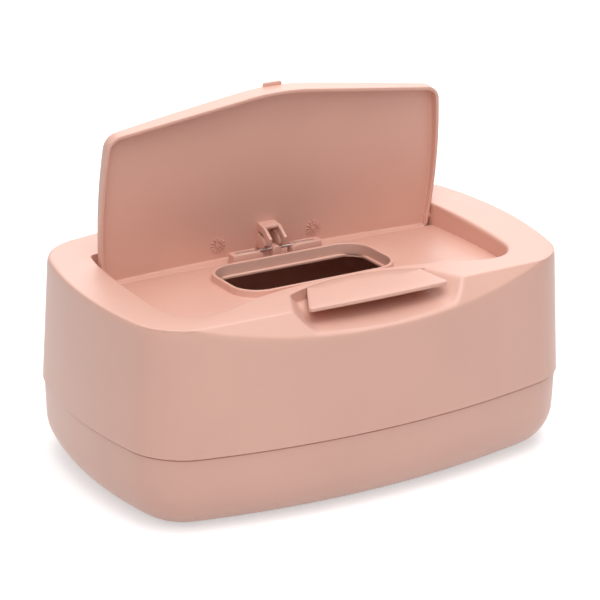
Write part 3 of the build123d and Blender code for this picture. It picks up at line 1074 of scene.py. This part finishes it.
def tree_end(bench, shape, material):
    """Makes the instances real and sets the material, as every tree does at its end."""
    real = bench.node("GeometryNodeRealizeInstances", None, {0: shape})
    dressed = bench.node("GeometryNodeSetMaterial", None, {"Geometry": real, "Material": material})
    bench.node("NodeGroupOutput", None, {0: dressed})
    return bench.tree


def grown(name, tree, values, body, place=None, material=plastic, crease=40):
    """Runs a tree on an empty object and turns its result into a finished piece."""
    holder = bpy.data.objects.new(name + "_seed", bpy.data.meshes.new(name + "_seed"))
    bpy.context.scene.collection.objects.link(holder)
    modifier = holder.modifiers.new("grow", "NODES")
    modifier.node_group = tree
    for item in tree.interface.items_tree:
        if item.in_out == "INPUT" and item.name in values:
            modifier[item.identifier] = values[item.name]
    return piece(name, taken_apart(holder), body, material, place, crease)


def rod_tree():
    sizes = [("Half length", "Float", 0.0215), ("Radius", "Float", 0.00075)]
    bench, size = new_tree("drawn_rod", sizes + [("Material", "Material", None)])
    end = bench.node("ShaderNodeCombineXYZ", None, {"X": size["Half length"]})
    start = bench.node("ShaderNodeVectorMath", {"operation": "SCALE"}, {0: end, "Scale": -1.0})
    line = bench.node("GeometryNodeCurvePrimitiveLine", None, {"Start": start, "End": end})
    section = {"Resolution": 28, "Radius": size["Radius"]}
    ring = bench.node("GeometryNodeCurvePrimitiveCircle", None, section)
    sweep = {"Curve": line, "Profile Curve": ring, "Fill Caps": True}
    return tree_end(bench, bench.node("GeometryNodeCurveToMesh", None, sweep), size["Material"])


rod = grown(
    "snap_rod",
    rod_tree(),
    {"Material": steel},
    "cover",
    place=Matrix.Translation((0, ROD_Y * MM, ROD_Z * MM)),
    material=steel,
)
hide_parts("snap_spring_rod")


# %% [markdown]
# ## The lid
#
# The lid is a shallow dish. It is modelled lying flat, with its pivot at the origin, and its own
# matrix then stands it up as in the photograph. Its skin is crowned a little across and gets
# thicker to the free end. The outline is carried up the side, over the rounded edge and inwards
# over the skin in shrinking copies; then the same is done for the inside, and the two meet at the
# rim.

# %% Lid sizes
LID_FRONT = 92.9
LID_FOOT_Y = 6.5
LID_CORNER_Y = -73.0
LID_TIP_Y = -85.3
LID_RIM_Z = -2.5
LID_THICK = 8.0
LID_WEDGE = 0.0293
LID_CROWN = 1250.0
LID_RIM = 1.8
LID_SKIN = 2.0
LID_EDGE = 2.2
LID_INNER_EDGE = 0.6
LID_HEART = np.array([0.0, -38.0])
PIVOT = (0.0, 34.3, 95.3)
LID_OPEN = 84.0
LID_PLACE = Matrix.Translation(Vector(PIVOT) * MM) @ Matrix.Rotation(radians(-LID_OPEN), 4, "X")


def lid_outline():
    side_bow = LID_MIDDLE - (LID_SIDE + LID_FRONT) / 2
    corners = [
        (LID_SIDE, LID_FOOT_Y),
        (-LID_SIDE, LID_FOOT_Y),
        (-LID_FRONT, LID_CORNER_Y),
        (0.0, LID_TIP_Y),
        (LID_FRONT, LID_CORNER_Y),
    ]
    return bowed_outline(corners, [0, side_bow, 0, 0, side_bow], [3, 3, 8.5, 130, 8.5], 14)


def skin_height(x, y):
    """The height of the crowned skin over the pivot."""
    middle = LID_RIM_Z + LID_THICK + 4.5 * LID_WEDGE
    return middle - LID_WEDGE * y - x**2 / (2 * LID_CROWN)


# %% Lid shell
def lid_mesh():
    line = lid_outline()
    out = outward(line)

    def ring(inset, height, below=0.0):
        spots = line - out * inset
        if height is None:
            height = skin_height(spots[:, 0], spots[:, 1]) - below
        return np.column_stack([spots, np.broadcast_to(height, len(spots))])

    def skin_ring(inset, share, below):
        spots = LID_HEART + (line - out * inset - LID_HEART) * share
        return np.column_stack([spots, skin_height(spots[:, 0], spots[:, 1]) - below])

    shares = [0.0, 0.1, 0.25, 0.42, 0.6, 0.75, 0.86, 0.93, 0.97, 0.99]
    rows = [skin_ring(LID_EDGE, share, 0.0) for share in shares]
    for step in range(11):
        angle = pi / 2 * step / 10
        inset = LID_EDGE * (1 - sin(angle))
        rows.append(ring(inset, None, LID_EDGE * (1 - cos(angle))))
    side = LID_EDGE + 0.5
    rows.append(ring(0.0, None, side))
    for inset, height in rounded(
        [(0.0, LID_RIM_Z + 2), (0.0, LID_RIM_Z), (LID_RIM, LID_RIM_Z), (LID_RIM, LID_RIM_Z + 2)],
        [0, 0.45, 0.45, 0],
        5,
    ):
        rows.append(ring(inset, height))
    rows.append(ring(LID_RIM, None, LID_SKIN + LID_INNER_EDGE + 0.4))
    for step in range(9):
        angle = pi / 2 * step / 8
        inset = LID_RIM + LID_INNER_EDGE * (1 - cos(angle))
        rows.append(ring(inset, None, LID_SKIN + LID_INNER_EDGE * (1 - sin(angle))))
    for share in reversed(shares):
        rows.append(skin_ring(LID_RIM + LID_INNER_EDGE, share, LID_SKIN))
    return grid_mesh(rows)


lid = piece("lid_shell", lid_mesh(), "lid", place=LID_PLACE)
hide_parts("lid")


# %% [markdown]
# ## The lid's hood, tab and pins
#
# Two thin cheeks with a bridge between them stand on the inside of the lid. They swing round the
# rod and push it over centre, which makes the snap. The tab on the free edge is for a fingertip,
# and the two pins at the sides are the hinge.

# %% Hood
CHEEK_IN = 3.5
CHEEK_OUT = 5.1
CHEEK_ARM = 7.75
CHEEK_HUB = 5.7
PASSAGE_END = 10.0
PASSAGE_MOUTH = -64.0
HOOD_TOP = -11.4
HOOD_ROOT = 4.8
HOOD_BEND = -2.3


def cheek_outline():
    """The cheek in the lid's own y and z, with the rod's passage bent round the pivot."""
    def ring(radius, start, end, steps=12):
        turns = np.radians(np.linspace(start, end, steps))
        return [(-radius * cos(turn), radius * sin(turn)) for turn in turns]

    middle = (CHEEK_ARM + CHEEK_HUB) / 2
    half = (CHEEK_ARM - CHEEK_HUB) / 2
    line = [(1.5, HOOD_ROOT), (HOOD_TOP, HOOD_ROOT), (HOOD_TOP, HOOD_BEND)]
    line += [(-7.8, -9.5), (-4.4, -9.5)]
    line += ring(CHEEK_ARM, PASSAGE_MOUTH, PASSAGE_END)
    for turn in np.radians([45, 90, 135]):
        beyond = np.degrees(half * sin(turn) / middle)
        line += ring(middle + half * cos(turn), PASSAGE_END + beyond, PASSAGE_END + beyond, 1)
    line += ring(CHEEK_HUB, PASSAGE_END, PASSAGE_MOUTH)
    return line + [(1.5, -3.0)]


def hood_piece():
    line = cheek_outline()
    start = grid_mesh([[(x, y, z) for y, z in line] for x in (CHEEK_IN, CHEEK_OUT)])
    other = grid_mesh([[(x, y, z) for y, z in line] for x in (-CHEEK_IN, -CHEEK_OUT)])
    bridge = block((-CHEEK_OUT, HOOD_TOP, HOOD_BEND), (CHEEK_OUT, HOOD_TOP + 1.5, HOOD_ROOT))
    made = worked(
        "lid_hood", start, [("UNION", tool(other)), ("UNION", tool(bridge))], "lid", bevel=0.22
    )
    made.data.transform(LID_PLACE)
    return made


hood_piece()


# %% Tab and pins
TAB_HALF = 5.0
TAB_REACH = 0.6
TAB_ROOT = 3.0
PIN_RADIUS = 1.6


def tab_mesh():
    tip = LID_THICK + LID_WEDGE * 88.7 + LID_RIM_Z
    line = rounded(
        [
            (-TAB_HALF, LID_TIP_Y + TAB_ROOT),
            (-TAB_HALF, LID_TIP_Y - TAB_REACH),
            (TAB_HALF, LID_TIP_Y - TAB_REACH),
            (TAB_HALF, LID_TIP_Y + TAB_ROOT),
        ],
        [0, 1.2, 1.2, 0],
        6,
    )
    rows = []
    for height, share in ((-2.4, 0.94), (-2.2, 1.0), (-1.0, 1.0), (-0.8, 0.94)):
        rows.append([(x * share, -82 + (y + 82) * share, tip + height) for x, y in line])
    return grid_mesh(rows)


def pin_mesh(side):
    rows = []
    for x, radius in ((92.3, PIN_RADIUS), (96.4, PIN_RADIUS), (96.7, PIN_RADIUS - 0.3)):
        angles = np.linspace(0, 2 * pi, 28, endpoint=False)
        rows.append([(side * x, radius * cos(angle), radius * sin(angle)) for angle in angles])
    return grid_mesh(rows)


piece("lid_tab", tab_mesh(), "lid", place=LID_PLACE)
piece("lid_pins", joined(pin_mesh(-1), pin_mesh(1)), "lid", place=LID_PLACE)


# %% [markdown]
# ## Mould marks in the lid
#
# Two date dials are cast in the inside of the lid: rings of fine raised ticks round a small
# centre. They repeat one tick round a circle, so they are made with Geometry Nodes: points on a
# circle, one tick on each, turned to follow it.

# %% Date dials by Geometry Nodes
def dial_tree():
    bench, size = new_tree(
        "date_dial",
        [
            ("Radius", "Float", 0.0031),
            ("Ticks", "Int", 12),
            ("Tick size", "Vector", (0.0021, 0.0006, 0.0014)),
            ("Centre radius", "Float", 0.0011),
            ("Centre height", "Float", 0.0012),
            ("Material", "Material", None),
        ],
    )
    circle = {"Vertices": size["Ticks"], "Radius": size["Radius"]}
    ring = bench.node("GeometryNodeMeshCircle", None, circle)
    tick = bench.node("GeometryNodeMeshCube", None, {"Size": size["Tick size"]})
    where = bench.node("GeometryNodeInputPosition")
    turn = bench.node("FunctionNodeAlignRotationToVector", {"axis": "X"}, {"Vector": where})
    spread = {"Points": ring, "Instance": tick, "Rotation": turn}
    ticks = bench.node("GeometryNodeInstanceOnPoints", None, spread)
    disc = {"Vertices": 20, "Radius": size["Centre radius"], "Depth": size["Centre height"]}
    centre = bench.node("GeometryNodeMeshCylinder", None, disc, "Mesh")
    both = bench.node("GeometryNodeJoinGeometry", None, {0: centre})
    bench.tree.links.new(ticks.socket, both.socket.node.inputs[0])
    return tree_end(bench, both, size["Material"])


DIAL_X = 27.5
DIAL_Y = -3.2
dial = dial_tree()
for side in (-1, 1):
    height = skin_height(DIAL_X, DIAL_Y) - LID_SKIN
    place = LID_PLACE @ Matrix.Translation(Vector((side * DIAL_X, DIAL_Y, height)) * MM)
    name = "date_dial_left" if side < 0 else "date_dial_right"
    grown(name, dial, {"Material": plastic}, "lid", place)


# %% [markdown]
# ## The press tongue
#
# The tongue is a thin level plate over the finger scoop. It narrows to its root, where it grows
# out of the cover with no edge to be seen, its front edge is bowed, and its free edges are softly
# rounded.

# %% Tongue
TONGUE_ROOT = (-24.0, 37.6)
TONGUE_FRONT = (-36.8, 40.6)
TONGUE_Y = -69.3
TONGUE_BOW = 0.8
TONGUE_THICK = 2.0
TONGUE_HEART = (0.0, -57.0)
ROOT_GAP = 0.05
ROOT_UNDERCUT = 0.14


def tongue_mesh():
    left, right = [(x, scoop_back_line(x) - ROOT_GAP) for x in TONGUE_ROOT]
    corners = [left, (TONGUE_FRONT[0], TONGUE_Y), (TONGUE_FRONT[1], TONGUE_Y), right]
    radius = SCOOP_BACK_BOW - ROOT_GAP
    root_bow = radius - sqrt(radius**2 - hypot(right[0] - left[0], right[1] - left[1]) ** 2 / 4)
    line = bowed_outline(corners, [0, TONGUE_BOW, 0, root_bow], [0.4, 1.6, 1.6, 0.4], 6)
    from_root = scoop_back_line(line[:, 0]) - ROOT_GAP - line[:, 1]
    out = outward(line) * np.clip((from_root + 0.3) / 1.5, 0.02, 1)[:, None]
    section = rounded(
        [(3.0, -TONGUE_THICK), (0.0, -TONGUE_THICK), (0.0, 0.0), (3.0, 0.0)], [0, 0.5, 0.7, 0], 6
    )
    rows = []
    for inset, height in section:
        spots = line - out * min(inset, 1.2)
        share = 1.0 if inset < 3.0 else 0.6
        spots = TONGUE_HEART + (spots - TONGUE_HEART) * share
        spots[:, 1] += ROOT_UNDERCUT * height * np.clip(1 - from_root / 4, 0, 1)
        rows.append(np.column_stack([spots, np.full(len(spots), TOP + height)]))
    for number, height in ((0, -TONGUE_THICK), (len(rows) + 1, 0.0)):
        rows.insert(number, np.tile((*TONGUE_HEART, TOP + height), (len(line), 1)))
    return grid_mesh(rows)


tongue = piece("press_tongue", tongue_mesh(), "tongue")
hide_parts("release_tongue")


# %% [markdown]
# ## Floor, light and camera
#
# The photograph has a white ground and broad soft light from all round. Three large lamps, in
# front, overhead and behind, and an even white world do the same. The lamp behind gives the tops
# their pale sheen. The camera stands where the photograph's did: in front and to the left, a
# little above the box, with a long lens.

# %% White floor
GROUND_HALF = 8.0


def directly_seen(bench):
    """1 for rays from the camera, a reflection or glass, and 0 for the light on a surface."""
    share = bench.node("ShaderNodeLightPath", output="Is Camera Ray")
    for kind in ("Is Glossy Ray", "Is Transmission Ray"):
        share = share + bench.node("ShaderNodeLightPath", output=kind)
    return share


def floor_material():
    bench = material_bench("white_ground")
    matt = bench.node("ShaderNodeBsdfDiffuse", None, {"Color": (0.7, 0.7, 0.7, 1)})
    glow = {"Color": (1, 1, 1, 1), "Strength": directly_seen(bench) * 0.5}
    lift = bench.node("ShaderNodeEmission", None, glow)
    return bench.surface(bench.node("ShaderNodeAddShader", None, {0: matt, 1: lift}))


ground_data = bpy.data.meshes.new("ground")
corners = [(-1, -1, 0), (1, -1, 0), (1, 1, 0), (-1, 1, 0)]
ground_data.from_pydata([Vector(corner) * GROUND_HALF for corner in corners], [], [(0, 1, 2, 3)])
ground_data.materials.append(floor_material())
ground = bpy.data.objects.new("ground", ground_data)
bpy.context.scene.collection.objects.link(ground)

# %% World and lamp
world = bpy.data.worlds.new("white_room")
bpy.context.scene.world = world
world.use_nodes = True
bench = Bench(world.node_tree)
felt = bench.node("ShaderNodeBackground", None, {"Strength": 0.35})
seen = bench.node("ShaderNodeBackground", None, {"Strength": 1.0})
room = bench.node("ShaderNodeMixShader", None, {0: directly_seen(bench), 1: felt, 2: seen})
bench.node("ShaderNodeOutputWorld", None, {"Surface": room})


def lamp(name, place, aim, size, power):
    data = bpy.data.lights.new(name, "AREA")
    data.shape = "DISK"
    data.size = size
    data.energy = power
    made = bpy.data.objects.new(name, data)
    made.location = place
    made.rotation_euler = (Vector(aim) - Vector(place)).to_track_quat("-Z", "Y").to_euler()
    bpy.context.scene.collection.objects.link(made)


lamp("front", (-0.45, -0.75, 1.15), (0, 0, 0.05), 1.3, 10.0)
lamp("overhead", (0.1, -0.1, 1.35), (0, 0, 0.05), 1.3, 11.0)
lamp("behind", (0.6, 1.05, 0.95), (0, 0, 0.08), 1.3, 6.5)

# %% Camera
CAMERA_AZIMUTH = radians(30.27)
CAMERA_HEIGHT = radians(21.48)
CAMERA_ROLL = radians(0.696)
CAMERA_DISTANCE = 1.301
CAMERA_LENS = 156.96
CAMERA_AIM = Vector((0, 0, 0.0665))
CAMERA_SLIDE = -0.00094
CAMERA_RISE = 0.00995

back = Vector(
    (
        -sin(CAMERA_AZIMUTH) * cos(CAMERA_HEIGHT),
        -cos(CAMERA_AZIMUTH) * cos(CAMERA_HEIGHT),
        sin(CAMERA_HEIGHT),
    )
)
level = (-back).cross(Vector((0, 0, 1))).normalized()
upright = level.cross(-back)
right = level * cos(CAMERA_ROLL) + upright * sin(CAMERA_ROLL)
up = upright * cos(CAMERA_ROLL) - level * sin(CAMERA_ROLL)
camera_data = bpy.data.cameras.new("camera")
camera_data.lens = CAMERA_LENS
camera_data.sensor_width = 36.0
camera = bpy.data.objects.new("camera", camera_data)
where = CAMERA_AIM + back * CAMERA_DISTANCE + right * CAMERA_SLIDE + up * CAMERA_RISE
turned = Matrix((right, up, back)).transposed().to_4x4()
camera.matrix_world = Matrix.Translation(where) @ turned
bpy.context.scene.collection.objects.link(camera)
bpy.context.scene.camera = camera
bpy.context.scene.view_settings.view_transform = "Standard"
print("camera at", [round(part, 3) for part in where])
